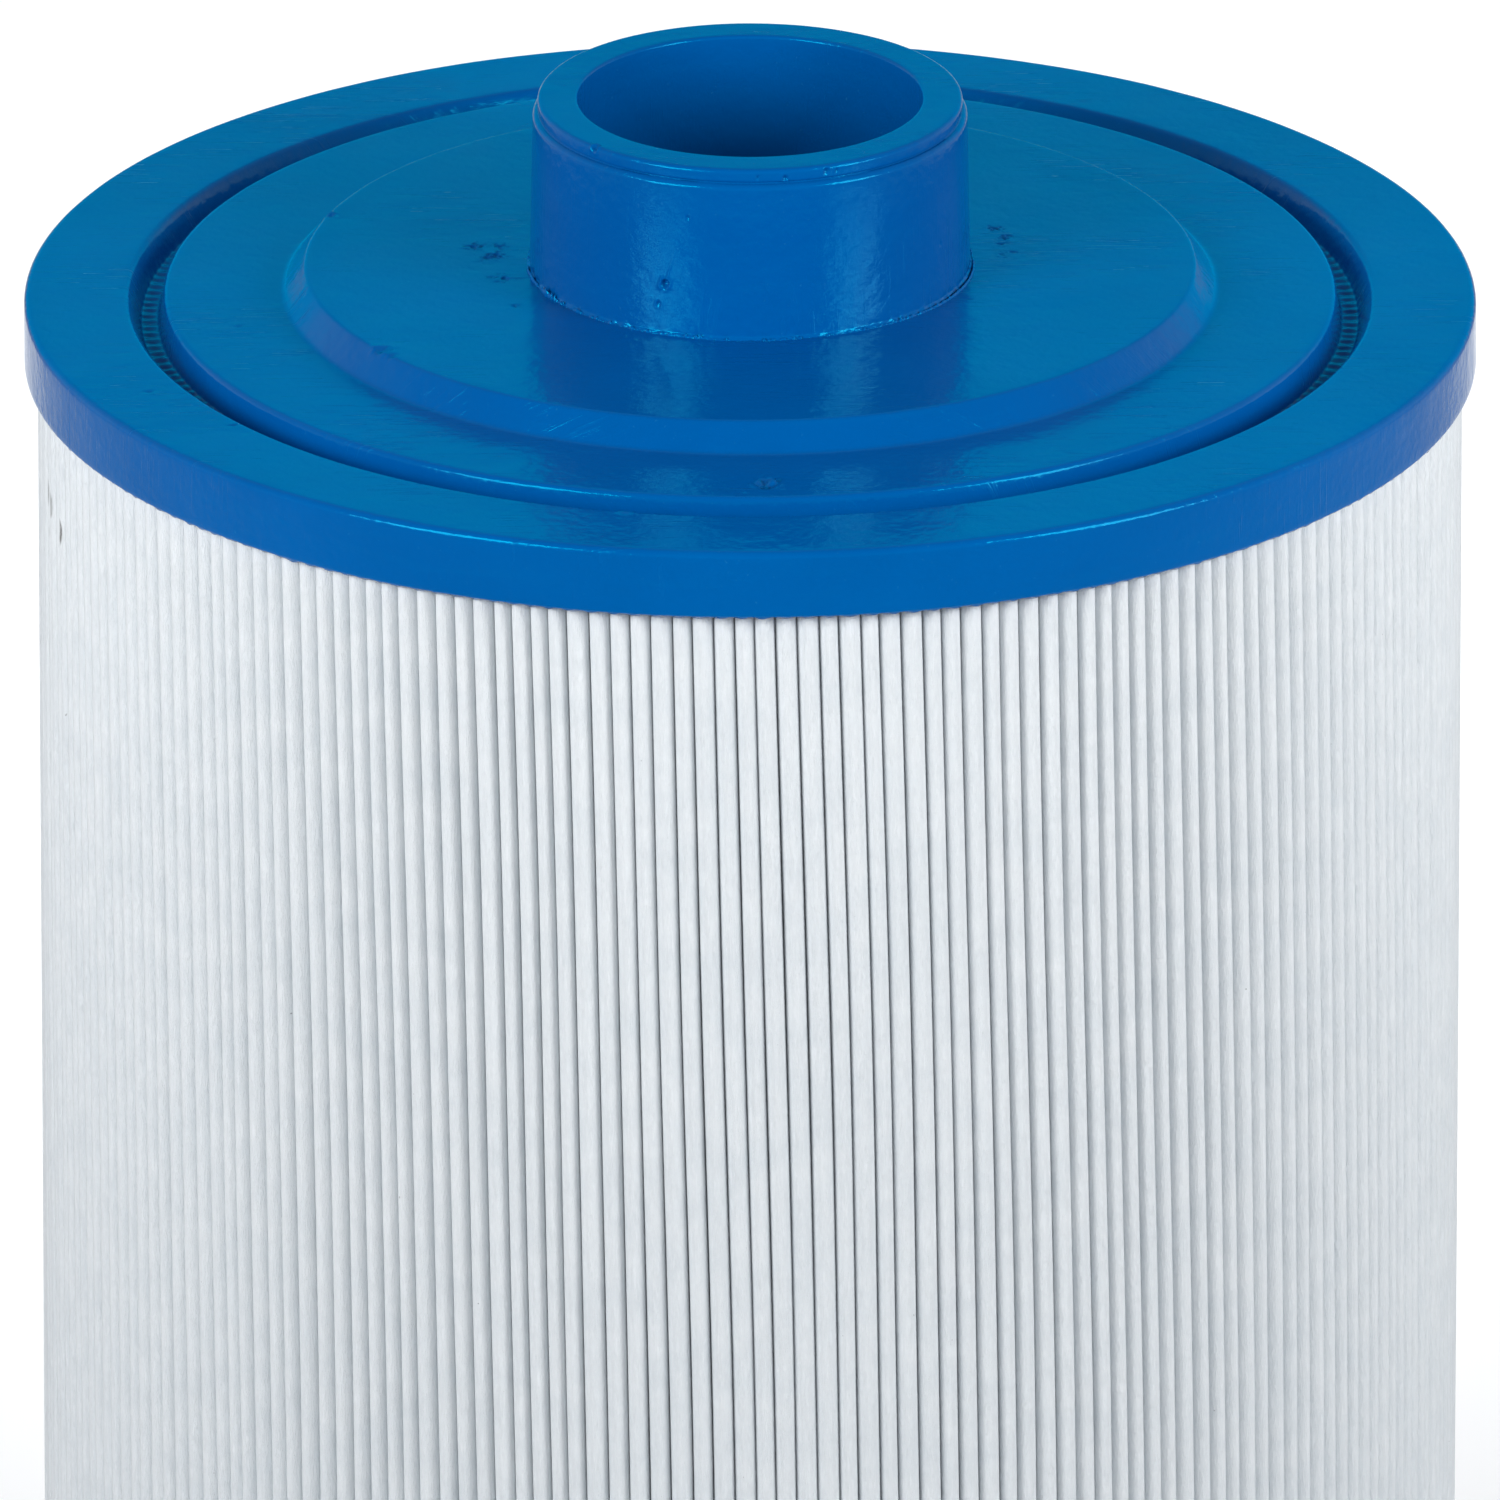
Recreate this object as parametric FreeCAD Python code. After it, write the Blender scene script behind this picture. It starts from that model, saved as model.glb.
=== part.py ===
"""Pleated filter cartridge: two cast end caps, a spigot, a pleated sheet with its seam, and a core tube.

Millimetres. +Z runs up the cartridge's axis, and the origin is the centre of the bottom face.
The pleats and the core tube stand 5.8 mm deep in the cast caps, in pockets of their own shape.
The spigot stands on the raised centre of the top cap, and is split from it at that face.
"""

import FreeCAD
import Part
import math
import os

# Cartridge
BODY_HEIGHT = 312.0  # bottom face to the top ring face
CAP_THICKNESS = 10.2  # rim height of both caps
BORE_R = 25.4  # 2 in bore through both caps
POTTED_DEPTH = 5.8  # how deep the pleats and the core stand in each cap
FULL_TURN = 360.0

# Rim, groove and inner ledge
RIM_R = 107.15
RIM_EDGE = 1.2
GROOVE_OUTER_TOP_R = 91.8
GROOVE_OUTER_FLOOR_R = 89.8
GROOVE_INNER_FLOOR_R = 88.0
GROOVE_INNER_TOP_R = 86.4
GROOVE_DEPTH = 4.0
GROOVE_LIP = 1.0
GROOVE_CORNER = 0.5
TOP_LEDGE_RISE = 0.7  # the top cap's ledge stands above its ring face

# Raised centre and spigot of the top cap
PLATEAU_BASE_R = 68.6
PLATEAU_TOP_R = 65.0
PLATEAU_HEIGHT = 4.8  # above the ring face
PLATEAU_BASE_FILLET = 1.5
PLATEAU_EDGE = 0.8
SPIGOT_HEIGHT = 31.0  # above the ring face
SPIGOT_R = 32.28
SPIGOT_FLARE = 0.9
SHOULDER_BELOW_TOP = 2.2
SHOULDER_EDGE = 1.0
CREASE_R = 30.8
LIP_R = 31.35
LIP_RISE = 0.35
LIP_EDGE = 0.8
BORE_EDGE = 0.5

# Pleated sheet
PLEATS = 216
PLEAT_TIP_R = 105.3
PLEAT_ROOT_R = 51.2
SHEET_THICKNESS = 0.5
SEAM_ANGLE = 90.0  # degrees, at the back
SHEET_END_R = 103.0

# Adhesive seam between the sheet's two ends
SEAM_INNER_R = 92.0

# Core tube
CORE_OUTER_R = 50.8
CORE_WALL = 2.8
HOLE_R = 4.75
HOLE_COLUMNS = 12
HOLE_LEVELS = 17
HOLE_LEVEL_PITCH = 16.0

UP = FreeCAD.Vector(0, 0, 1)
ORIGIN = FreeCAD.Vector(0, 0, 0)
PACK_BOTTOM = CAP_THICKNESS - POTTED_DEPTH
PACK_LENGTH = BODY_HEIGHT - 2 * PACK_BOTTOM
PITCH = 2 * math.pi / PLEATS
HALF_SHEET = SHEET_THICKNESS / 2


def polar(radius, angle):
    """The point at this radius and angle in the z = 0 plane."""
    return FreeCAD.Vector(radius * math.cos(angle), radius * math.sin(angle), 0)


def rounded_corner(before, corner, after, radius):
    """The start, middle and end of the arc that rounds a corner of a profile."""
    back = (before - corner).normalize()
    ahead = (after - corner).normalize()
    half = back.getAngle(ahead) / 2
    reach = radius / math.tan(half)
    centre = corner + (back + ahead).normalize() * (radius / math.sin(half))
    middle = centre + (corner - centre).normalize() * radius
    return corner + back * reach, middle, corner + ahead * reach


def revolved(profile):
    """The solid of revolution of a closed profile of (radius, height, corner radius)."""
    points = [FreeCAD.Vector(r, 0, z) for r, z, _ in profile]
    starts = []
    ends = []
    edges = []
    for i, (_, _, radius) in enumerate(profile):
        after = points[(i + 1) % len(points)]
        if radius > 0:
            start, middle, end = rounded_corner(points[i - 1], points[i], after, radius)
            edges.append(Part.Arc(start, middle, end).toShape())
        else:
            start = points[i]
            end = points[i]
        starts.append(start)
        ends.append(end)
    for i, end in enumerate(ends):
        edges.append(Part.makeLine(end, starts[(i + 1) % len(starts)]))
    wire = Part.Wire(Part.__sortEdges__(edges))
    return Part.Face(wire).revolve(ORIGIN, UP, FULL_TURN)


def rim_and_groove(face_z, ledge_z, inward):
    """The profile from a cap's bore-side ledge, over its groove and rim, to its inner side.

    inward is -1 where the cap's inner side is below its face, and 1 where it is above.
    """
    floor_z = face_z + inward * GROOVE_DEPTH
    inner_z = face_z + inward * CAP_THICKNESS
    return [
        (GROOVE_INNER_TOP_R, ledge_z, GROOVE_LIP),
        (GROOVE_INNER_FLOOR_R, floor_z, GROOVE_CORNER),
        (GROOVE_OUTER_FLOOR_R, floor_z, GROOVE_CORNER),
        (GROOVE_OUTER_TOP_R, face_z, GROOVE_LIP),
        (RIM_R, face_z, RIM_EDGE),
        (RIM_R, inner_z, 0),
        (BORE_R, inner_z, 0),
    ]


def flank_point(radius, angle, side):
    """A point on a sheet surface, half the sheet away from the flank at this angle."""
    return polar(radius, angle) + polar(side * HALF_SHEET, angle + math.pi / 2)


def fold(centre_radius, angle, radius, outward):
    """A fold's arc, which meets the radial flanks on both its sides."""
    centre = polar(centre_radius, angle)
    quarter = PITCH / 4
    across = math.pi / 2
    start = centre + polar(radius, angle - outward * quarter - across)
    middle = centre + polar(outward * radius, angle)
    end = centre + polar(radius, angle + outward * quarter + across)
    return start, middle, end


def sheet_side(side):
    """The points along one surface of the sheet: side 1 is outside the pleats, -1 inside."""
    flank = math.sin(PITCH / 4)
    tip_centre = (PLEAT_TIP_R - HALF_SHEET) / (1 + flank)
    root_centre = (PLEAT_ROOT_R + HALF_SHEET) / (1 - flank)
    tip_radius = tip_centre * flank + side * HALF_SHEET
    root_radius = root_centre * flank - side * HALF_SHEET
    first = math.radians(SEAM_ANGLE)
    arcs = []
    for k in range(PLEATS):
        angle = first + k * PITCH
        if k > 0:
            arcs.append(fold(tip_centre, angle, tip_radius, 1))
        arcs.append(fold(root_centre, angle + PITCH / 2, root_radius, -1))
    start = flank_point(SHEET_END_R, first + PITCH / 4, side)
    end = flank_point(SHEET_END_R, first - PITCH / 4, -side)
    return start, arcs, end


def side_edges(side):
    """The edges along one surface of the sheet, with its first and last point."""
    start, arcs, end = sheet_side(side)
    edges = []
    at = start
    for first, middle, last in arcs:
        edges.append(Part.makeLine(at, first))
        edges.append(Part.Arc(first, middle, last).toShape())
        at = last
    edges.append(Part.makeLine(at, end))
    return start, edges, end


def pleated_media():
    """The sheet, folded into a star of pleats that is open at the seam."""
    outer_start, outer_edges, outer_end = side_edges(1)
    inner_start, inner_edges, inner_end = side_edges(-1)
    closing = [Part.makeLine(outer_end, inner_end), Part.makeLine(inner_start, outer_start)]
    wire = Part.Wire(outer_edges + closing[:1] + inner_edges[::-1] + closing[1:])
    section = Part.Face(wire)
    section.translate(UP * PACK_BOTTOM)
    return section.extrude(UP * PACK_LENGTH)


def media_seam():
    """The adhesive strip between the sheet's two ends, with a rounded cap over them."""
    left = math.radians(SEAM_ANGLE) + PITCH / 4
    right = math.radians(SEAM_ANGLE) - PITCH / 4
    middle = polar(SHEET_END_R + SHEET_END_R * math.sin(PITCH / 4) + HALF_SHEET, math.radians(SEAM_ANGLE))
    inner_left = flank_point(SEAM_INNER_R, left, -1)
    inner_right = flank_point(SEAM_INNER_R, right, 1)
    neck_left = flank_point(SHEET_END_R, left, -1)
    neck_right = flank_point(SHEET_END_R, right, 1)
    cap_left = flank_point(SHEET_END_R, left, 1)
    cap_right = flank_point(SHEET_END_R, right, -1)
    edges = [
        Part.makeLine(inner_left, neck_left),
        Part.makeLine(neck_left, cap_left),
        Part.Arc(cap_left, middle, cap_right).toShape(),
        Part.makeLine(cap_right, neck_right),
        Part.makeLine(neck_right, inner_right),
        Part.makeLine(inner_right, inner_left),
    ]
    section = Part.Face(Part.Wire(edges))
    section.translate(UP * PACK_BOTTOM)
    return section.extrude(UP * PACK_LENGTH)


def core_blank(inner_radius):
    """A plain tube of the core's outside size and length."""
    start = UP * PACK_BOTTOM
    outside = Part.makeCylinder(CORE_OUTER_R, PACK_LENGTH, start, UP)
    inside = Part.makeCylinder(inner_radius, PACK_LENGTH, start, UP)
    return outside.cut(inside)


def core_tube():
    """The core: a tube with staggered rows of drilled holes."""
    lowest = BODY_HEIGHT / 2 - HOLE_LEVEL_PITCH * (HOLE_LEVELS - 1) / 2
    column = FULL_TURN / HOLE_COLUMNS
    drills = []
    for level in range(HOLE_LEVELS):
        height = lowest + level * HOLE_LEVEL_PITCH
        stagger = column / 2 * (level % 2)
        for k in range(HOLE_COLUMNS // 2):
            along = polar(1, math.radians(k * column + stagger))
            start = UP * height - along * CORE_OUTER_R
            drills.append(Part.makeCylinder(HOLE_R, 2 * CORE_OUTER_R, start, along))
    return core_blank(CORE_OUTER_R - CORE_WALL).cut(drills)


def top_end_cap(potted):
    """The top cap, up to its raised centre, with the pockets of the potted pieces."""
    face = BODY_HEIGHT
    ledge = face + TOP_LEDGE_RISE
    plateau = face + PLATEAU_HEIGHT
    profile = [
        (BORE_R, plateau, 0),
        (PLATEAU_TOP_R, plateau, PLATEAU_EDGE),
        (PLATEAU_BASE_R, ledge, PLATEAU_BASE_FILLET),
    ]
    return revolved(profile + rim_and_groove(face, ledge, -1)).cut(potted)


def top_cap_spigot():
    """The hollow spigot: a straight tube with a crease below its rolled lip."""
    plateau = BODY_HEIGHT + PLATEAU_HEIGHT
    top = BODY_HEIGHT + SPIGOT_HEIGHT
    shoulder = top - SHOULDER_BELOW_TOP
    profile = [
        (BORE_R, top, BORE_EDGE),
        (LIP_R, top, LIP_EDGE),
        (LIP_R, shoulder + LIP_RISE, 0),
        (CREASE_R, shoulder, 0),
        (SPIGOT_R, shoulder, SHOULDER_EDGE),
        (SPIGOT_R, plateau + SPIGOT_FLARE, 0),
        (SPIGOT_R + SPIGOT_FLARE, plateau, 0),
        (BORE_R, plateau, 0),
    ]
    return revolved(profile)


def bottom_end_cap(potted):
    """The bottom cap: a flat face with the same rim and groove, and a flush bore."""
    profile = [(BORE_R, 0, BORE_EDGE)] + rim_and_groove(0, 0, 1)
    return revolved(profile).cut(potted)


def export(shape, node):
    """Writes one node's STEP file."""
    shape.exportStep(os.path.join("parts", node + ".step"))


def main():
    os.makedirs("parts", exist_ok=True)
    media = pleated_media()
    seam = media_seam()
    core = core_tube()
    potted = [media, seam, core_blank(CORE_OUTER_R - CORE_WALL)]
    export(media, "pleated_media")
    export(seam, "media_seam")
    export(core, "core_tube")
    export(top_end_cap(potted), "top_end_cap")
    export(top_cap_spigot(), "top_cap_spigot")
    export(bottom_end_cap(potted), "bottom_end_cap")


main()
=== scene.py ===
"""Looks of the pleated filter cartridge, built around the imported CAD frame.

The frame is the CAD's: +Z up the cartridge's axis, the bottom face at z = 0. Sizes of the cartridge
are in millimetres here and become metres where Blender takes them. Lights, camera and materials work
in metres. An azimuth is in degrees round the axis from the front, positive to the right.
"""

import bpy
import math
import numpy as np
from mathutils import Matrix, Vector, noise


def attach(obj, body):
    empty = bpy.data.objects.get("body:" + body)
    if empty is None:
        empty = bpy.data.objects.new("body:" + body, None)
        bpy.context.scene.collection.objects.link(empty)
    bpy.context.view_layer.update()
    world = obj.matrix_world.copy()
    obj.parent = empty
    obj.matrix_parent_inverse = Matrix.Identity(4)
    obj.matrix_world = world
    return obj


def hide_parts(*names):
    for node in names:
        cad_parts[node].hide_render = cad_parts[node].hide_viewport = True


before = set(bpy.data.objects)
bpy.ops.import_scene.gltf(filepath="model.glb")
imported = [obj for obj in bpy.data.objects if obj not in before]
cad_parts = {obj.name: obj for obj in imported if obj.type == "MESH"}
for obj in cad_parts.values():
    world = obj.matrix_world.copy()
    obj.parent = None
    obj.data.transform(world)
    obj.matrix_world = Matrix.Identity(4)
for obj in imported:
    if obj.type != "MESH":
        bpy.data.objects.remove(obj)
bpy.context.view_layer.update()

MM = 0.001
TURN = 2 * math.pi
SEED = 7
RNG = np.random.default_rng(SEED)

# ---- caps ----
BODY_HEIGHT = 312.0
CAP_THICKNESS = 10.2
BORE_R = 25.4
RIM_R = 107.15
RING_EDGE = 1.1
RIM_FOOT_EDGE = 0.45
POCKET_R = 98.0
GROOVE_DEPTH = 4.0
GROOVE_INNER_TOP_R = 86.4
GROOVE_INNER_FLOOR_R = 87.2
GROOVE_OUTER_FLOOR_R = 89.8
GROOVE_OUTER_TOP_R = 91.9
RIBS_R = 88.6
LEDGE_Z = BODY_HEIGHT + 0.7
PLATEAU_Z = BODY_HEIGHT + 4.8
PLATEAU_TOP_R = 65.6
PLATEAU_BASE_R = 68.8
TORN_SKIN_R = 38.8
TORN_SKIN_INNER_R = 36.0
TORN_SKIN_OUTER_R = 42.0

# ---- spigot ----
SPIGOT_TOP = BODY_HEIGHT + 31.0
SHOULDER_Z = SPIGOT_TOP - 2.2
LIP_FOOT_Z = SHOULDER_Z + 0.35
LIP_R = 31.35
CREASE_R = 30.8
SHOULDER_R = 32.05
WALL_R = 32.4
FLARE_START_R = 32.5
FLARE_START_Z = PLATEAU_Z + 0.5
FLARE_END_R = 32.8
FLASH_R = 32.72
SPIGOT_SEGMENTS = 1440
FLASH_SEGMENTS = 2160

# ---- pleated sheet ----
PLEATS = 216
PITCH = TURN / PLEATS
PLEAT_TIP_R = 105.3
PLEAT_ROOT_R = 51.2
SHEET_THICKNESS = 0.5
PACK_BOTTOM = 4.4
PACK_TOP = BODY_HEIGHT - PACK_BOTTOM
SEAM_ANGLE = math.pi / 2
SHEET_END_R = 103.0
TIP_DEPTH = 1.8
TIP_WIDTH = 1.24
TWIST = 5.0
SHEET_ROWS = 31

# ---- casting faults: azimuth, radius, height, size, depth (negative stands proud), raggedness ----
TOP_CAP_PITS = [
    (-11.3, 91.3, BODY_HEIGHT - 0.3, 0.85, 1.0, 0.25),
    (9.0, 91.3, BODY_HEIGHT - 0.2, 0.35, 0.4, 0.2),
    (1.5, 80.9, LEDGE_Z, 1.3, 0.60, 0.9),
    (2.2, 80.3, LEDGE_Z, 0.7, -0.55, 0.9),
    (-56.2, 65.0, PLATEAU_Z, 1.0, 0.45, 0.5),
    (-53.5, 65.2, PLATEAU_Z - 0.2, 0.6, 0.25, 0.5),
    (-107.8, 65.3, PLATEAU_Z, 0.8, 0.6, 0.3),
    (-65.0, 97.2, BODY_HEIGHT, 0.4, 0.35, 0.4),
    (-54.0, 93.6, BODY_HEIGHT, 0.35, 0.3, 0.4),
    (-47.0, 101.0, BODY_HEIGHT, 0.3, 0.2, 0.5),
    (71.0, 99.0, BODY_HEIGHT, 0.35, 0.2, 0.5),
    (-78.0, 77.0, LEDGE_Z, 0.4, 0.2, 0.5),
    (38.0, 62.5, PLATEAU_Z, 0.3, 0.2, 0.4),
]
BOTTOM_CAP_PITS = [
    (40.0, 60.0, 0.0, 0.8, 0.3, 0.3),
    (150.0, 78.0, 0.0, 0.5, 0.3, 0.3),
]
SPIGOT_PITS = [
    (-22.7, WALL_R, PLATEAU_Z + 7.8, 0.62, 0.75, 0.3),
    (-24.5, WALL_R, PLATEAU_Z + 4.6, 0.38, 0.3, 0.3),
    (-16.5, 32.1, PLATEAU_Z + 18.6, 0.35, 0.22, 0.2),
    (2.0, LIP_R, SPIGOT_TOP - 1.2, 0.3, 0.25, 0.2),
    (9.5, LIP_R, SPIGOT_TOP - 1.4, 0.4, 0.35, 0.2),
    (21.0, LIP_R, SPIGOT_TOP - 0.9, 0.45, 0.35, 0.2),
    (24.0, LIP_R, SPIGOT_TOP - 1.0, 0.28, 0.25, 0.2),
    (-47.0, 31.0, SPIGOT_TOP - 0.3, 0.55, 0.5, 0.3),
    (60.0, WALL_R, PLATEAU_Z + 9.0, 0.3, 0.2, 0.3),
]
TORN_SKIN_PITS = 7

# ---- dirt on the sheet: azimuth, height, size, darkness ----
STAINS = [
    (-80.3, 287.3, 0.8, 0.6),
    (-78.5, 286.4, 0.7, 0.5),
    (-75.2, 284.5, 0.75, 0.95),
    (-72.4, 283.2, 0.5, 0.9),
    (-70.7, 283.0, 0.3, 0.6),
    (-79.3, 281.2, 0.6, 0.25),
]
STAIN_REACH = 0.00135
STAIN_SQUASH = (1.5, 0.5, 0.42)

# ---- studio ----
FLOOR_SIDE = 40.0
FLOOR_GLOW = 0.05
BOX_DISTANCE = 0.6
BOX_WIDTH = 0.34
BOX_LOW = 0.43
BOX_HIGH = 0.65
PANEL_SIZE = (0.30, 0.75)
PANEL_PLACE = (0.0, 0.72, 0.50)
PANEL_POWER = 3.4
FRONT_BANDS = [
    (0.0, (0.68, 0.68, 0.69)),
    (0.5, (0.33, 0.34, 0.36)),
    (1.0, (0.12, 0.13, 0.15)),
]
BACK_BANDS = [
    (0.0, (0.0, 0.64, 1.04)),
    (0.45, (0.0, 0.58, 0.94)),
    (0.75, (0.0, 0.30, 0.44)),
    (1.0, (0.12, 0.22, 0.28)),
]
BACKDROP = [
    (0.58, (0.0, 0.0, 0.0)),
    (0.80, (1.0, 1.0, 1.0)),
]
CAMERA_ELEVATION = 21.3
CAMERA_DISTANCE = 6.175
CAMERA_TARGET_Z = (BODY_HEIGHT - 72.45) * MM
LENS = 1000.0


# ---- small helpers ----
def noise_at(points, scale, seed):
    """Perlin noise, about -1 to 1, at an array of points in millimetres."""
    shift = Vector((seed * 17.3, seed * 5.1, seed * 9.7))
    return np.array([noise.noise(Vector(p) / scale + shift) for p in points])


def on_wall(azimuth, radius, height):
    """A point on a round wall."""
    a = math.radians(azimuth)
    return (radius * math.sin(a), -radius * math.cos(a), height)


def grid_mesh(name, points, closed):
    """A smooth mesh over a grid of points (u, v, xyz) in millimetres, closed both ways or neither."""
    nu, nv = points.shape[:2]
    u = np.arange(nu if closed else nu - 1)
    v = np.arange(nv if closed else nv - 1)
    uu, vv = np.meshgrid(u, v, indexing="ij")
    un, vn = (uu + 1) % nu, (vv + 1) % nv
    corners = [uu * nv + vv, un * nv + vv, un * nv + vn, uu * nv + vn]
    quads = np.stack(corners, axis=-1).reshape(-1, 4)
    mesh = bpy.data.meshes.new(name)
    mesh.vertices.add(nu * nv)
    mesh.vertices.foreach_set("co", (points.reshape(-1, 3) * MM).astype(np.float32).ravel())
    mesh.loops.add(quads.size)
    mesh.loops.foreach_set("vertex_index", quads.astype(np.int32).ravel())
    mesh.polygons.add(len(quads))
    mesh.polygons.foreach_set("loop_start", np.arange(0, quads.size, 4, dtype=np.int32))
    mesh.polygons.foreach_set("use_smooth", np.ones(len(quads), bool))
    mesh.update(calc_edges=True)
    mesh.validate()
    obj = bpy.data.objects.new(name, mesh)
    bpy.context.scene.collection.objects.link(obj)
    return obj


def colour_ramp(tree, source, stops):
    """Adds a colour ramp to a node tree: stops of (position, rgb or grey)."""
    node = tree.nodes.new("ShaderNodeValToRGB")
    elements = node.color_ramp.elements
    while len(elements) < len(stops):
        elements.new(0.5)
    for element, (at, value) in zip(elements, stops):
        element.position = at
        element.color = (*value, 1) if isinstance(value, tuple) else (value, value, value, 1)
    tree.links.new(source, node.inputs["Fac"])
    return node.outputs["Color"]


# ---- turned shapes ----
def rounded_profile(corners):
    """Points (radius, height) along a closed profile.

    Each corner is its radius, height, rounding, arc points, and the point spacing on the run that follows.
    """
    pts = [np.array(c[:2], float) for c in corners]
    pieces = []
    for i, (_, _, radius, count, _) in enumerate(corners):
        here, before, after = pts[i], pts[i - 1], pts[(i + 1) % len(pts)]
        if radius == 0:
            pieces.append(here[None])
            continue
        back = (before - here) / np.linalg.norm(before - here)
        ahead = (after - here) / np.linalg.norm(after - here)
        half = math.acos(np.clip(back @ ahead, -1, 1)) / 2
        centre = here + (back + ahead) / np.linalg.norm(back + ahead) * radius / math.sin(half)
        start, end = here + back * radius / math.tan(half), here + ahead * radius / math.tan(half)
        a0 = math.atan2(*(start - centre)[::-1])
        turn = (math.atan2(*(end - centre)[::-1]) - a0 + math.pi) % TURN - math.pi
        angles = a0 + turn * np.linspace(0, 1, count)
        pieces.append(centre + radius * np.stack([np.cos(angles), np.sin(angles)], axis=1))
    out = []
    for i, piece in enumerate(pieces):
        out.append(piece)
        start, end = piece[-1], pieces[(i + 1) % len(pieces)][0]
        gap = float(np.linalg.norm(end - start))
        inner = max(0, math.ceil(gap / corners[i][4]) - 1)
        t = (np.arange(inner) + 1) / (inner + 1)
        out.append(start + (end - start) * t[:, None])
    return np.concatenate(out)


def profile_normals(profile):
    """Outward normals (radius, height) of a closed profile that runs anticlockwise, height up."""
    along = np.roll(profile, -1, axis=0) - np.roll(profile, 1, axis=0)
    normal = np.stack([along[:, 1], -along[:, 0]], axis=1)
    return normal / np.linalg.norm(normal, axis=1)[:, None]


def swept(ring, line):
    """A line of (radius, height) placed at every direction of a ring: (direction, point, xyz)."""
    flat = ring[:, None] * line[None, :, :1]
    height = np.broadcast_to(line[None, :, 1:], (len(ring), len(line), 1))
    return np.concatenate([flat, height], axis=2)


def turned(profile, segments):
    """Grid points and normals (segment, profile point, xyz) of a profile turned about the axis."""
    radius, height = profile.T
    area = 0.5 * np.sum(radius * np.roll(height, -1) - np.roll(radius, -1) * height)
    if area < 0:
        profile = profile[::-1]
    angle = np.arange(segments) * TURN / segments
    ring = np.stack([np.cos(angle), np.sin(angle)], axis=1)
    return swept(ring, profile), swept(ring, profile_normals(profile))


# ---- how the pleats lie ----
def pleat_cells():
    """How the pleats share the circle: each one's share of the pitch, its centre angle and first border."""
    share = 1 + 0.13 * RNG.uniform(-1, 1, PLEATS)
    share[[0, 1, -1]] = 1
    share *= PLEATS / share.sum()
    last = np.cumsum(share) * PITCH - PITCH / 2
    return share, SEAM_ANGLE + last - share * PITCH / 2, SEAM_ANGLE + last - share * PITCH


SHARE, CENTRE, BORDER = pleat_cells()


def drift(angle, height):
    """How far the pleats lean round the axis, in millimetres at the tips: none at the seam."""
    below = (PACK_TOP - height) / (PACK_TOP - PACK_BOTTOM)
    from_seam = np.abs((angle - SEAM_ANGLE + math.pi) % TURN - math.pi)
    return TWIST * math.sin(below * math.pi / 2) * np.sin(np.clip(from_seam / 2.4, 0, 1) * math.pi / 2)


def pleat_phase(angle):
    """0 to 2 pi over each pleat as it meets the top cap, with its tip at pi."""
    turned_by = (angle - drift(angle, BODY_HEIGHT) / PLEAT_TIP_R - BORDER[0]) % TURN
    borders = np.append(BORDER - BORDER[0], TURN)
    return np.interp(turned_by, borders, TURN * np.arange(PLEATS + 1)) % TURN


# ---- casting detail ----
def pitted(flat, pits):
    """How far pits move the surface at each point, each with a raised rim and a ragged outline."""
    move = np.zeros(len(flat))
    for azimuth, radius, height, size, depth, ragged in pits:
        offset = flat - np.array(on_wall(azimuth, radius, height))
        near = np.flatnonzero(np.abs(offset).max(axis=1) < 4 * size)
        away = np.linalg.norm(offset[near], axis=1) / size
        uneven = noise_at(flat[near], 0.45 * size + 0.2, size * 31)
        away = away * np.maximum(1 + ragged * uneven, 0.3)
        rim = 0.30 * np.exp(-((away - 1.35) / 0.35) ** 2)
        move[near] += depth * (rim - np.exp(-(away ** 3)))
    return move


def cap_details(points, normals, pits, face_z, up, seed):
    """Moves a cap's surface as casting leaves it: waves, pleat ribs in the groove, a scalloped foot, pits."""
    flat = points.reshape(-1, 3)
    out = normals.reshape(-1, 3)
    radius = np.hypot(flat[:, 0], flat[:, 1])
    angle = np.arctan2(flat[:, 1], flat[:, 0])
    below = (face_z - flat[:, 2]) * up
    near_pleat = 0.5 - 0.5 * np.cos(pleat_phase(angle))
    waves = 0.05 * noise_at(flat, 30, seed) + 0.018 * noise_at(flat, 7, seed + 1)
    on_floor = np.clip(1.3 - np.abs(radius - RIBS_R) / 1.2, 0, 1) * (np.abs(below - GROOVE_DEPTH) < 0.4)
    ribs = on_floor * (0.34 * (near_pleat - 0.5) + 0.12 * noise_at(flat, 1.6, seed + 4))
    at_foot = np.abs(below - CAP_THICKNESS) < 0.05
    underside = at_foot & (radius > POCKET_R) & (radius < RIM_R - 0.5)
    climb = underside * np.clip((RIM_R - radius) / 1.6, 0, 1) * (0.45 + 0.35 * near_pleat)
    moved = flat + out * (waves + ribs + climb + pitted(flat, pits))[:, None]
    edge = at_foot & (radius >= RIM_R - 0.5)
    drips = 0.20 * noise_at(flat, 6, seed + 2) + 0.22 * noise_at(flat, 1.7, seed + 5)
    moved[:, 2] -= up * edge * (0.26 * (near_pleat - 0.5) + drips)
    return moved.reshape(points.shape)


def scratch(flat, foot, head):
    """A fine raised scratch between two points, which fades towards its head."""
    foot, head = np.array(foot), np.array(head)
    along = head - foot
    share = np.clip((flat - foot) @ along / (along @ along), 0, 1)
    off = np.linalg.norm(flat - foot - share[:, None] * along, axis=1)
    return 0.10 * np.exp(-((off / 0.16) ** 2)) * (1 - 0.6 * share)


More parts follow.
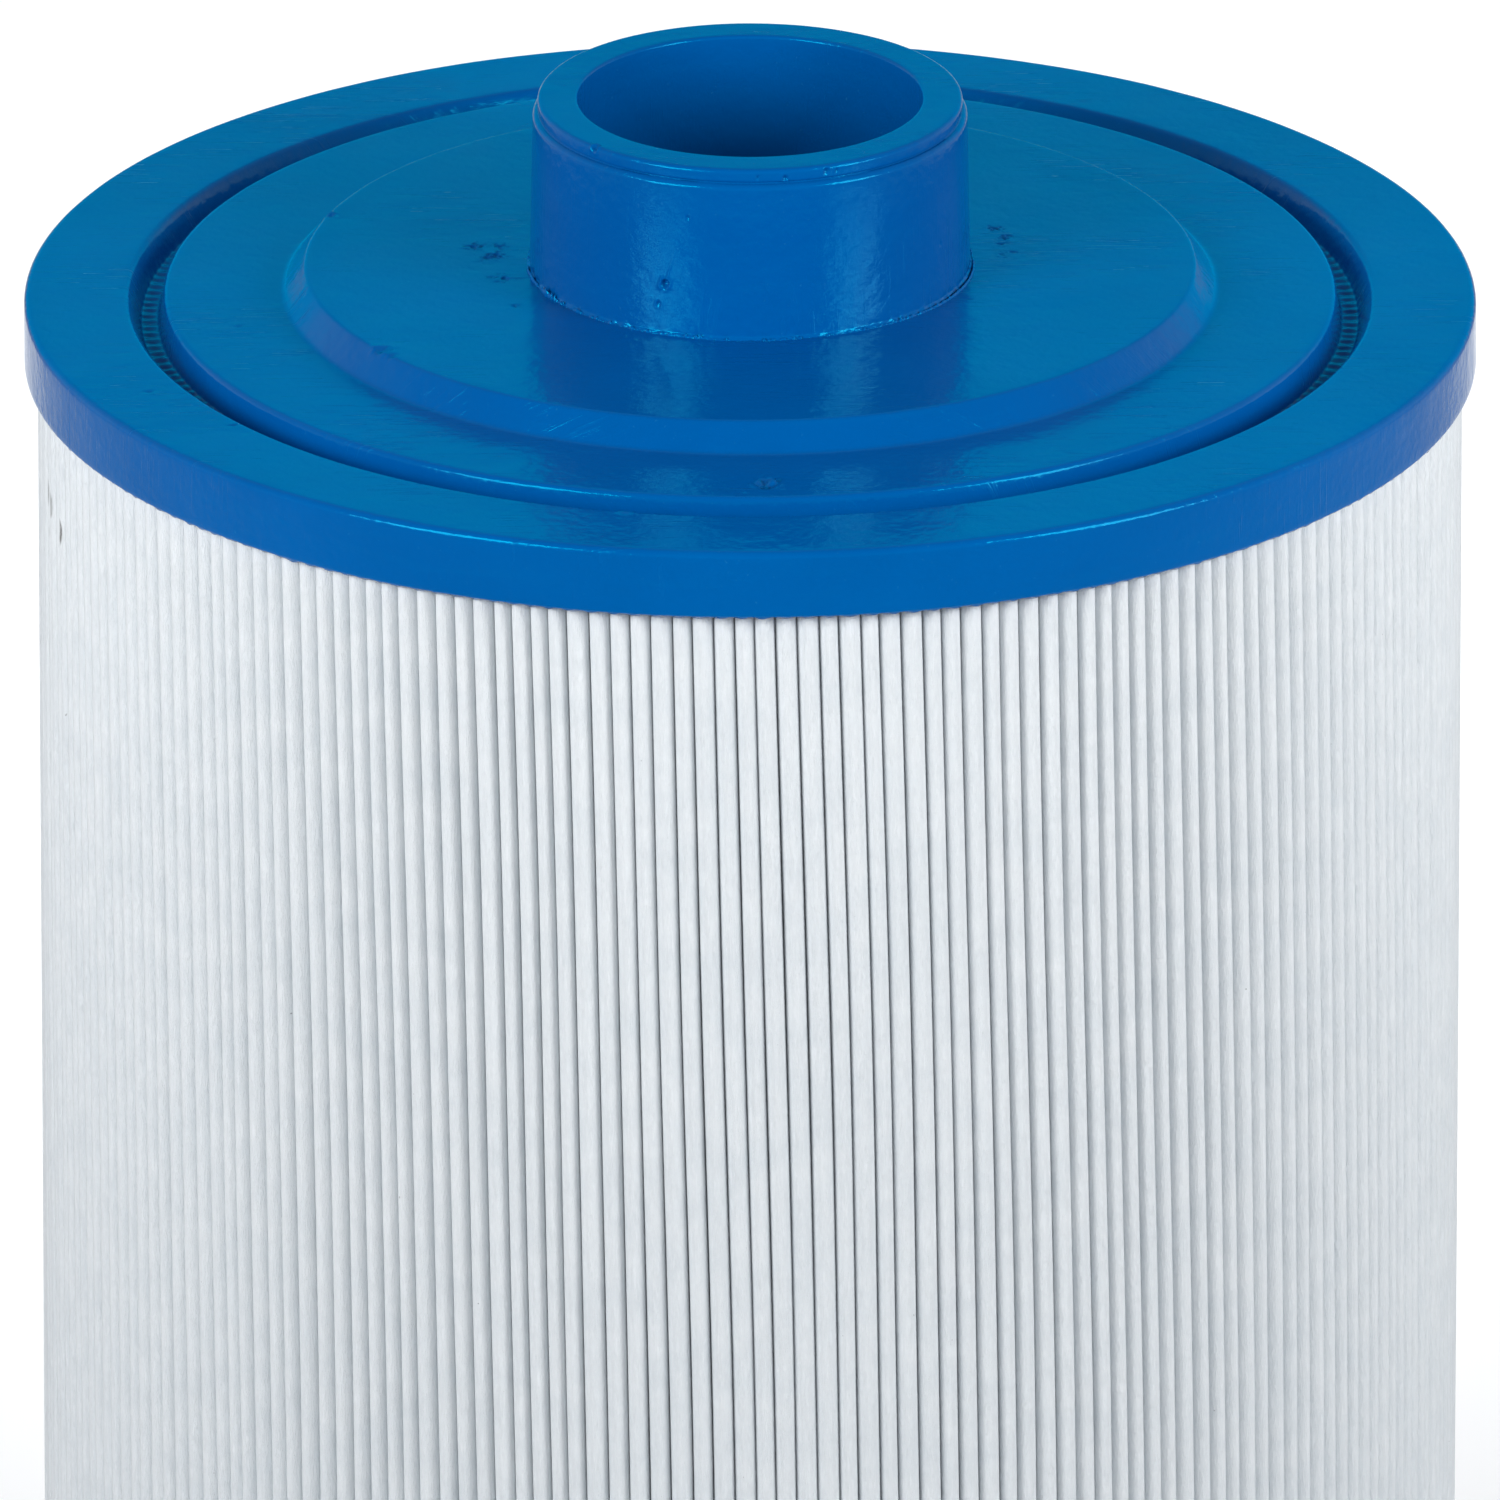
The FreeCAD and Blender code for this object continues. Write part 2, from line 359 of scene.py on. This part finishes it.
# ---- materials ----
class Nodes:
    """Builds a procedural material: each call adds a node and returns its output."""

    def __init__(self, name):
        self.material = bpy.data.materials.new(name)
        self.material.use_nodes = True
        self.tree = self.material.node_tree
        self.shader = self.tree.nodes["Principled BSDF"]
        self.place = self.tree.nodes.new("ShaderNodeTexCoord").outputs["Object"]

    def add(self, kind, values, **links):
        """A node with its settings and socket values, and with sources linked to its named sockets."""
        node = self.tree.nodes.new(kind)
        for key, value in values.items():
            if key in node.inputs:
                node.inputs[key].default_value = value
            else:
                setattr(node, key, value)
        for key, source in links.items():
            self.tree.links.new(source, node.inputs[key])
        return node

    def scaled(self, scale, turn):
        """Object coordinates in scale units per metre, turned."""
        values = {"Scale": scale, "Rotation": turn}
        return self.add("ShaderNodeMapping", values, Vector=self.place).outputs["Vector"]

    def noise(self, scale, detail=3.0, rough=0.5, stretch=None, turn=(0, 0, 0), distort=0.0):
        """Noise, 0 to 1: stretch gives each axis its own scale."""
        source = self.scaled(stretch, turn) if stretch else self.place
        values = {"Scale": scale, "Detail": detail, "Roughness": rough, "Distortion": distort}
        return self.add("ShaderNodeTexNoise", values, Vector=source).outputs["Fac"]

    def ramp(self, source, stops):
        return colour_ramp(self.tree, source, stops)

    def math(self, operation, a, b, clamp=False):
        """Combines two values, each a number or a socket."""
        node = self.add("ShaderNodeMath", {"operation": operation, "use_clamp": clamp})
        for socket, value in zip(node.inputs, (a, b)):
            if isinstance(value, (int, float)):
                socket.default_value = value
            else:
                self.tree.links.new(value, socket)
        return node.outputs[0]

    def mix(self, factor, a, b):
        """Blends two colours, each a colour or a socket, by a socket."""
        node = self.add("ShaderNodeMix", {"data_type": "RGBA"})
        self.tree.links.new(factor, node.inputs["Factor"])
        for socket, value in ((node.inputs[6], a), (node.inputs[7], b)):
            if isinstance(value, tuple):
                socket.default_value = (*value, 1)
            else:
                self.tree.links.new(value, socket)
        return node.outputs[2]

    def bump(self, height, distance, strength, below=None):
        """A bump of a height socket, on top of an earlier bump."""
        node = self.add("ShaderNodeBump", {"Strength": strength, "Distance": distance}, Height=height)
        if below:
            self.tree.links.new(below, node.inputs["Normal"])
        return node.outputs["Normal"]

    def finish(self, colour, roughness, normal, **plain):
        """Connects the shader: plain values go on its own sockets."""
        for socket, source in (("Base Color", colour), ("Roughness", roughness), ("Normal", normal)):
            self.tree.links.new(source, self.shader.inputs[socket])
        for key, value in plain.items():
            self.shader.inputs[key.replace("_", " ")].default_value = value
        return self.material


def polyurethane():
    """Cast blue polyurethane: glossy, with cloudy colour, an orange-peel skin, fine scratches and dust."""
    n = Nodes("cast_polyurethane")
    cloud = n.noise(28, detail=4, rough=0.55)
    colour = n.ramp(cloud, [(0.3, (0.0, 0.088, 0.328)), (0.7, (0.0, 0.100, 0.364))])
    streak = n.noise(1, detail=5, rough=0.6, stretch=(55, 55, 420), distort=0.4)
    colour = n.mix(n.ramp(streak, [(0.52, 0.0), (0.75, 0.22)]), colour, (0.0, 0.120, 0.37))
    dust = n.ramp(n.noise(1500, detail=2), [(0.70, 0.0), (0.78, 0.35)])
    colour = n.mix(dust, colour, (0.02, 0.19, 0.45))
    lines = [
        n.ramp(n.noise(1, detail=2, stretch=s, turn=t), [(0.64, 0.0), (0.70, 1.0)])
        for s, t in (
            ((60, 1900, 60), (0, 0, 0.12)),
            ((90, 2600, 90), (0, 0, -0.30)),
            ((45, 1500, 45), (0, 0, 0.42)),
        )
    ]
    scratches = n.math("ADD", n.math("ADD", lines[0], lines[1]), lines[2], clamp=True)
    wear = n.ramp(n.noise(40, detail=3), [(0.45, 0.0), (0.62, 1.0)])
    scratches = n.math("MULTIPLY", scratches, wear)
    smear = n.noise(90, detail=5, rough=0.65)
    roughness = n.ramp(smear, [(0.3, 0.08), (0.75, 0.17)])
    roughness = n.mix(n.math("MULTIPLY", scratches, 0.5), roughness, (0.5, 0.5, 0.5))
    peel = n.noise(620, detail=3, rough=0.5)
    ripple = n.noise(130, detail=3, rough=0.5)
    normal = n.bump(ripple, 0.0006, 0.30)
    normal = n.bump(peel, 0.00020, 0.50, below=normal)
    normal = n.bump(scratches, 0.00006, 0.5, below=normal)
    return n.finish(colour, roughness, normal, IOR=1.47, Specular_Tint=(0.0, 0.72, 1.0, 1.0))


def stained(n, colour):
    """Streaky grease marks over a colour, each drawn out along the pleats."""
    streaky = n.ramp(n.noise(1, detail=4, rough=0.7, stretch=(2200, 2200, 260)), [(0.38, 0.25), (0.56, 1.0)])
    for azimuth, height, size, dark in STAINS:
        offset = n.add("ShaderNodeVectorMath", {"operation": "SUBTRACT"})
        n.tree.links.new(n.place, offset.inputs[0])
        offset.inputs[1].default_value = Vector(on_wall(azimuth, PLEAT_TIP_R, height)) * MM
        squashed = n.add("ShaderNodeVectorMath", {"operation": "MULTIPLY"})
        n.tree.links.new(offset.outputs[0], squashed.inputs[0])
        squashed.inputs[1].default_value = [squash / size for squash in STAIN_SQUASH]
        away = n.add("ShaderNodeVectorMath", {"operation": "LENGTH"})
        n.tree.links.new(squashed.outputs[0], away.inputs[0])
        mark = n.math("SUBTRACT", STAIN_REACH, away.outputs["Value"])
        mark = n.math("MULTIPLY", mark, 2600, clamp=True)
        mark = n.math("MULTIPLY", n.math("MULTIPLY", mark, streaky), dark)
        colour = n.mix(mark, colour, (0.055, 0.045, 0.035))
    return colour


def painted_cap_edge_highlight(n, colour):
    """Painted highlight: a thin uneven pale blue line on the sheet just under each cap, standing in for the
    light that the cap's rounded foot edge catches.
    """
    height = n.add("ShaderNodeSeparateXYZ", {}, Vector=n.place).outputs["Z"]
    uneven = n.math("MULTIPLY", n.math("SUBTRACT", n.noise(700, detail=3), 0.5), 0.0012)
    reach = n.math("ADD", height, uneven)
    top = n.math("SUBTRACT", reach, (BODY_HEIGHT - CAP_THICKNESS - 0.75) * MM)
    low = n.math("SUBTRACT", (CAP_THICKNESS + 0.75) * MM, reach)
    # The band within reach of each cap is a painted highlight, not colour of the sheet.
    painted_highlight_band = n.math("MULTIPLY", n.math("MAXIMUM", top, low), 1800, clamp=True)
    return n.mix(n.math("MULTIPLY", painted_highlight_band, 0.8), colour, (0.10, 0.50, 0.78))


def non_woven():
    """White non-woven polyester: matted fine fibres, faint mottling, specks and stains, with a painted
    highlight line in pale blue just under each cap.
    """
    n = Nodes("non_woven_cloth")
    mottle = n.noise(160, detail=5, rough=0.6)
    colour = n.ramp(mottle, [(0.32, (0.70, 0.745, 0.775)), (0.68, (0.765, 0.80, 0.822))])
    fibres = [
        n.ramp(n.noise(1, detail=3, stretch=s, turn=t, distort=0.6), [(0.56, 0.0), (0.66, 1.0)])
        for s, t in (
            ((4200, 4200, 420), (0.35, 0.2, 0)),
            ((4200, 4200, 500), (-0.4, 0.3, 0)),
            ((3600, 3600, 380), (0.1, -0.55, 0.3)),
            ((5200, 5200, 900), (0.9, 0.5, 0)),
        )
    ]
    pairs = [n.math("ADD", fibres[0], fibres[1]), n.math("ADD", fibres[2], fibres[3])]
    matted = n.math("ADD", pairs[0], pairs[1], clamp=True)
    colour = n.mix(n.math("MULTIPLY", matted, 0.28), colour, (0.84, 0.87, 0.895))
    specks = n.ramp(n.noise(900, detail=1), [(0.83, 0.0), (0.86, 0.7)])
    colour = n.mix(specks, colour, (0.25, 0.26, 0.27))
    # Adds the stains, then the painted highlight line under each cap.
    colour = painted_cap_edge_highlight(n, stained(n, colour))
    roughness = n.ramp(mottle, [(0.3, 0.82), (0.7, 0.95)])
    grain = n.noise(2600, detail=3, rough=0.6)
    normal = n.bump(matted, 0.00007, 0.7)
    normal = n.bump(grain, 0.00006, 0.5, below=normal)
    sheen = {"Sheen_Weight": 0.15, "Sheen_Roughness": 0.5, "Specular_IOR_Level": 0.25}
    return n.finish(colour, roughness, normal, **sheen)


def extruded_plastic():
    """White extruded pipe: faint draw lines along it, dull gloss and slight yellowing."""
    n = Nodes("extruded_white_plastic")
    tone = n.noise(35, detail=4)
    colour = n.ramp(tone, [(0.3, (0.74, 0.73, 0.68)), (0.7, (0.83, 0.82, 0.78))])
    lines = n.noise(1, detail=4, stretch=(900, 900, 6))
    colour = n.mix(n.ramp(lines, [(0.5, 0.0), (0.8, 0.3)]), colour, (0.66, 0.66, 0.62))
    roughness = n.ramp(n.noise(220, detail=4), [(0.3, 0.34), (0.7, 0.52)])
    normal = n.bump(lines, 0.00012, 0.4)
    normal = n.bump(n.noise(1500, detail=2), 0.00005, 0.3, below=normal)
    return n.finish(colour, roughness, normal, IOR=1.5)


def hot_melt():
    """The seam's hot-melt adhesive: amber-white, lumpy and half glossy."""
    n = Nodes("hot_melt_adhesive")
    lumps = n.noise(240, detail=4, rough=0.6)
    colour = n.ramp(lumps, [(0.3, (0.66, 0.60, 0.46)), (0.7, (0.80, 0.77, 0.66))])
    roughness = n.ramp(n.noise(400, detail=3), [(0.3, 0.28), (0.7, 0.5)])
    normal = n.bump(lumps, 0.0004, 0.6)
    return n.finish(colour, roughness, normal, IOR=1.48)


def pale_floor():
    """A plain pale studio surface, barely uneven, that glows a little as a lit sweep does."""
    n = Nodes("pale_floor")
    tone = n.noise(3, detail=3)
    colour = n.ramp(tone, [(0.3, (0.90, 0.90, 0.90)), (0.7, (0.93, 0.93, 0.93))])
    roughness = n.ramp(tone, [(0.3, 0.75), (0.7, 0.9)])
    normal = n.bump(n.noise(60, detail=3), 0.0002, 0.2)
    glow = {"Emission_Color": (1, 1, 1, 1), "Emission_Strength": FLOOR_GLOW}
    return n.finish(colour, roughness, normal, Specular_IOR_Level=0.1, **glow)


# ---- pieces ----
def put_on_root(piece, material):
    """Gives a piece its material and slot, and makes it ride on the only body."""
    piece.data.materials.append(material)
    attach(piece, "root")


def cap_corners(face_z, ledge_z, up, centre):
    """A cap's profile corners: centre is the run from the bore to the ledge."""
    inner_z = face_z - up * CAP_THICKNESS
    floor_z = face_z - up * GROOVE_DEPTH
    return centre + [
        (GROOVE_INNER_TOP_R, ledge_z, 0.9, 7, 0.6),
        (GROOVE_INNER_FLOOR_R, floor_z, 0.6, 4, 0.6),
        (GROOVE_OUTER_FLOOR_R, floor_z, 0.5, 4, 0.6),
        (GROOVE_OUTER_TOP_R, face_z, 1.2, 7, 0.8),
        (RIM_R, face_z, RING_EDGE, 12, 0.8),
        (RIM_R, inner_z, RIM_FOOT_EDGE, 5, 0.8),
        (POCKET_R, inner_z, 0, 0, 12),
        (BORE_R, inner_z, 0, 0, 1.5),
    ]


def make_top_cap(material):
    """The top casting: ring, groove, ledge and raised centre, with its pits and torn skin."""
    centre = [
        (BORE_R, PLATEAU_Z, 0, 0, 1.5),
        (TORN_SKIN_INNER_R, PLATEAU_Z, 0, 0, 0.2),
        (TORN_SKIN_OUTER_R, PLATEAU_Z, 0, 0, 0.8),
        (PLATEAU_TOP_R, PLATEAU_Z, 0.9, 8, 0.6),
        (PLATEAU_BASE_R, LEDGE_Z, 1.3, 7, 0.5),
    ]
    profile = rounded_profile(cap_corners(BODY_HEIGHT, LEDGE_Z, 1, centre))
    points, normals = turned(profile, PLEATS * 7)
    pits = list(TOP_CAP_PITS)
    for side in (-1, 1):
        for _ in range(TORN_SKIN_PITS):
            azimuth = side * (90 + RNG.normal(4, 15))
            radius = TORN_SKIN_R + RNG.normal(0, 1.3)
            size, depth = RNG.uniform(0.25, 0.9), RNG.uniform(0.10, 0.35)
            pits.append((azimuth, radius, PLATEAU_Z, size, depth, 1.6))
    moved = cap_details(points, normals, pits, BODY_HEIGHT, 1, SEED)
    cap = grid_mesh("top_cap_casting", moved, True)
    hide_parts("top_end_cap")
    put_on_root(cap, material)


def make_bottom_cap(material):
    """The bottom casting: the same ring and groove round a flat centre with a flush bore."""
    profile = rounded_profile(cap_corners(0.0, 0.0, -1, [(BORE_R, 0.0, 0.5, 5, 1.5)]))
    points, normals = turned(profile, PLEATS * 6)
    moved = cap_details(points, normals, BOTTOM_CAP_PITS, 0.0, -1, SEED + 3)
    cap = grid_mesh("bottom_cap_casting", moved, True)
    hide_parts("bottom_end_cap")
    put_on_root(cap, material)


def make_spigot(material):
    """The hollow spigot, with the pits and bubbles of its casting."""
    corners = [
        (BORE_R, SPIGOT_TOP, 0.5, 6, 0.4),
        (LIP_R, SPIGOT_TOP, 0.7, 8, 0.3),
        (LIP_R, LIP_FOOT_Z, 0.2, 3, 0.3),
        (CREASE_R, SHOULDER_Z, 0.12, 3, 0.3),
        (SHOULDER_R, SHOULDER_Z, 0.9, 9, 0.3),
        (FLARE_START_R, FLARE_START_Z, 0.4, 4, 0.2),
        (FLARE_END_R, PLATEAU_Z, 0, 0, 4),
        (BORE_R, PLATEAU_Z, 0, 0, 1.2),
    ]
    points, normals = turned(rounded_profile(corners), SPIGOT_SEGMENTS)
    flat, out = points.reshape(-1, 3), normals.reshape(-1, 3)
    radius = np.hypot(flat[:, 0], flat[:, 1])
    above = flat[:, 2] - PLATEAU_Z
    move = 0.05 * noise_at(flat, 22, 4.0) + 0.015 * noise_at(flat, 4.5, 5.0) + pitted(flat, SPIGOT_PITS)
    foot = on_wall(-22.0, WALL_R, PLATEAU_Z + 9.0)
    head = on_wall(-19.5, WALL_R, PLATEAU_Z + 14.0)
    move += scratch(flat, foot, head)
    wrinkled = np.exp(-(((above - 8) / 6) ** 2)) * (radius > 31.8)
    move += 0.012 * wrinkled * noise_at(flat, 0.9, 9.0)
    near_base = np.clip(1 - above / 1.0, 0, 1) * (radius > 31)
    move += near_base * 0.20 * noise_at(flat, 1.3, 6.0)
    moved = (flat + out * move[:, None]).reshape(points.shape)
    spigot = grid_mesh("spigot_casting", moved, True)
    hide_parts("top_cap_spigot")
    put_on_root(spigot, material)


def make_flash(material):
    """The broken fin of flash round the spigot's foot: ragged bits on the left, a thin fin on the right."""
    angle = np.arange(FLASH_SEGMENTS) * TURN / FLASH_SEGMENTS
    azimuth = np.degrees(np.arctan2(np.cos(angle), -np.sin(angle)))
    ring = np.stack([np.cos(angle), np.sin(angle), np.zeros(FLASH_SEGMENTS)], axis=1)
    coarse = noise_at(ring * 33, 2.0, 11.0)
    fine = noise_at(ring * 33, 0.45, 12.0)
    left = np.exp(-(((azimuth + 62) / 30) ** 2))
    right = np.exp(-(((azimuth - 68) / 26) ** 2))
    front = np.exp(-(((azimuth + 14) / 7) ** 2))
    torn = np.clip(0.5 + 0.9 * coarse + 0.5 * fine, 0, 1.3)
    crumbs = np.clip(fine - 0.15, 0, 1) * 1.3
    high = 0.05 + 0.75 * left * torn + 0.45 * right * (0.4 + 0.6 * torn) + 0.22 * front + 0.6 * crumbs
    radius = FLASH_R + 0.30 * left * torn + 0.50 * right + 0.12 * coarse + 0.10 * fine
    rows = []
    for out, up in ((-0.40, -0.3), (-0.10, 0.45), (-0.03, 1.0), (0.03, 0.98), (0.10, 0.4), (0.28, -0.3)):
        r = radius + out
        rows.append(np.stack([r * ring[:, 0], r * ring[:, 1], PLATEAU_Z + high * up], axis=1))
    fin = grid_mesh("spigot_flash", np.stack(rows, axis=1), True)
    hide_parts("top_cap_spigot")
    put_on_root(fin, material)


def pleat_section(shift, tip_radius, width):
    """One height's line (points, xy) through the middle of the sheet, from one end to the other."""
    root_centre = (PLEAT_ROOT_R + SHEET_THICKNESS / 2) / (1 - math.sin(PITCH / 4))
    root_size = root_centre * math.sin(PITCH / 4)
    bend = np.linspace(-math.pi / 2, math.pi / 2, 11)
    turn = np.linspace(-math.pi / 2, math.pi / 2, 5)
    down = np.array([0.06, 0.3, 0.7])
    tip_r = tip_radius[:, None] - SHEET_THICKNESS / 2 - TIP_DEPTH * (1 - np.cos(bend))
    tip_a = (CENTRE + shift / PLEAT_TIP_R)[:, None] + width[:, None] * np.sin(bend) / tip_r
    root_angle = SEAM_ANGLE + (np.arange(PLEATS) + 0.5) * PITCH
    root_r = np.broadcast_to(root_centre - root_size * np.cos(turn), (PLEATS, len(turn)))
    root_a = root_angle[:, None] + root_size * np.sin(turn) / root_r
    fall_r = tip_r[:, -1:] + (root_r[:, :1] - tip_r[:, -1:]) * down
    fall_a = tip_a[:, -1:] + (root_a[:, :1] - tip_a[:, -1:]) * down
    next_r, next_a = np.roll(tip_r[:, :1], -1, axis=0), np.roll(tip_a[:, :1], -1, axis=0)
    next_a[-1] += TURN
    rise_r = next_r + (root_r[:, -1:] - next_r) * down[::-1]
    rise_a = next_a + (root_a[:, -1:] - next_a) * down[::-1]
    r = np.concatenate([tip_r, fall_r, root_r, rise_r], axis=1).ravel()[len(bend):]
    a = np.concatenate([tip_a, fall_a, root_a, rise_a], axis=1).ravel()[len(bend):]
    r = np.concatenate([[SHEET_END_R], r, [SHEET_END_R]])
    a = np.concatenate([[SEAM_ANGLE + PITCH / 4], a, [SEAM_ANGLE + TURN - PITCH / 4]])
    return np.stack([r * np.cos(a), r * np.sin(a)], axis=1)


def make_sheet(material):
    """The folded sheet: pleats of uneven width that lean, drift and waver a little, as a potted pack does."""
    index = np.arange(PLEATS)
    free = np.clip((np.minimum(index, PLEATS - index) - 1) / 3, 0, 1)
    out = RNG.uniform(-1, 1, PLEATS)
    ring = 105 * np.stack([np.cos(CENTRE), np.sin(CENTRE)], axis=1)
    points = []
    for height in np.linspace(PACK_BOTTOM, PACK_TOP, SHEET_ROWS):
        level = np.full(PLEATS, height)
        sway = noise_at(np.column_stack([ring, level * 0.25]), 24, 21.0)
        each = np.column_stack([index * 90.0, level, level * 0])
        waver = noise_at(each, 70, 22.0)
        swell = noise_at(each, 110, 23.0)
        shift = free * (drift(CENTRE, height) + 0.40 * sway + 0.06 * waver)
        width = TIP_WIDTH * (SHARE + free * 0.03 * swell)
        radius = PLEAT_TIP_R - 0.22 + 0.12 * out + 0.08 * swell
        section = pleat_section(shift, radius, width)
        points.append(np.column_stack([section, np.full(len(section), height)]))
    sheet = grid_mesh("folded_sheet", np.stack(points, axis=1), False)
    skin = sheet.modifiers.new("thickness", "SOLIDIFY")
    skin.thickness = SHEET_THICKNESS * MM
    skin.offset = 0
    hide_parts("pleated_media")
    put_on_root(sheet, material)
    middle = points[SHEET_ROWS // 2][:, :2]
    width = round(float(np.linalg.norm(np.diff(middle, axis=0), axis=1).sum()) * MM, 2)
    height = round((PACK_TOP - PACK_BOTTOM) * MM, 4)


def dress(node, material):
    """Gives a carried-over CAD node its procedural material."""
    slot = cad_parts[node].material_slots[0]
    slot.link = "OBJECT"
    slot.material = material


# ---- studio ----
def make_floor():
    """A wide pale floor under the cartridge."""
    line = np.linspace(-FLOOR_SIDE / 2, FLOOR_SIDE / 2, 41) / MM
    x, y = np.meshgrid(line, line, indexing="ij")
    floor = grid_mesh("studio_floor", np.stack([x, y, np.zeros_like(x)], axis=-1), False)
    floor.data.materials.append(pale_floor())


def panel(name, width, height, power, place):
    """A rectangular light that the camera doesn't see, facing down."""
    light = bpy.data.lights.new(name, "AREA")
    light.shape = "RECTANGLE"
    light.size, light.size_y = width, height
    light.energy = power
    obj = bpy.data.objects.new(name, light)
    obj.visible_camera = False
    obj.location = place
    bpy.context.scene.collection.objects.link(obj)
    return obj


def softbox(name, azimuth, power):
    """A low wide softbox near the cartridge, turned to face its axis."""
    a = math.radians(azimuth)
    place = Vector((BOX_DISTANCE * math.sin(a), -BOX_DISTANCE * math.cos(a), (BOX_LOW + BOX_HIGH) / 2))
    obj = panel(name, BOX_WIDTH, BOX_HIGH - BOX_LOW, power, place)
    obj.rotation_euler = (Vector((0, 0, place.z)) - place).to_track_quat("-Z", "Z").to_euler()


def make_lights():
    """Two softboxes in front, and a panel over the floor behind, which washes the background out to white."""
    softbox("left_softbox", -42, 2.95)
    softbox("right_softbox", 53, 2.8)
    panel("background_panel", *PANEL_SIZE, PANEL_POWER, PANEL_PLACE).visible_glossy = False


def make_world():
    """A soft pale studio, with a blue backdrop behind the cartridge that only glossy surfaces mirror."""
    world = bpy.data.worlds.new("studio")
    world.use_nodes = True
    tree = world.node_tree
    split = tree.nodes.new("ShaderNodeSeparateXYZ")
    tree.links.new(tree.nodes.new("ShaderNodeTexCoord").outputs["Generated"], split.inputs[0])
    front, back = (colour_ramp(tree, split.outputs["Z"], bands) for bands in (FRONT_BANDS, BACK_BANDS))
    behind = colour_ramp(tree, split.outputs["Y"], BACKDROP)
    mirrored = tree.nodes.new("ShaderNodeMath")
    mirrored.operation = "MULTIPLY"
    tree.links.new(tree.nodes.new("ShaderNodeLightPath").outputs["Is Glossy Ray"], mirrored.inputs[0])
    tree.links.new(behind, mirrored.inputs[1])
    blend = tree.nodes.new("ShaderNodeMix")
    blend.data_type = "RGBA"
    tree.links.new(mirrored.outputs[0], blend.inputs["Factor"])
    tree.links.new(front, blend.inputs[6])
    tree.links.new(back, blend.inputs[7])
    background = tree.nodes["Background"]
    tree.links.new(blend.outputs[2], background.inputs["Color"])
    background.inputs["Strength"].default_value = 1.0
    bpy.context.scene.world = world


def make_camera():
    """A long lens from the front, looking down on the cap."""
    data = bpy.data.cameras.new("camera")
    data.lens = LENS
    data.sensor_width = 36.0
    data.clip_start = 0.05
    data.clip_end = 200.0
    obj = bpy.data.objects.new("camera", data)
    e = math.radians(CAMERA_ELEVATION)
    target = Vector((0, 0, CAMERA_TARGET_Z))
    obj.location = target + Vector((0, -math.cos(e), math.sin(e))) * CAMERA_DISTANCE
    obj.rotation_euler = (target - obj.location).to_track_quat("-Z", "Y").to_euler()
    bpy.context.scene.collection.objects.link(obj)
    bpy.context.scene.camera = obj


make_camera()
make_world()
make_lights()
make_floor()
blue = polyurethane()
make_top_cap(blue)
make_spigot(blue)
make_flash(blue)
make_bottom_cap(blue)
make_sheet(non_woven())
dress("core_tube", extruded_plastic())
dress("media_seam", hot_melt())

scene = bpy.context.scene
scene.view_settings.view_transform = "Standard"
scene.view_settings.look = "None"
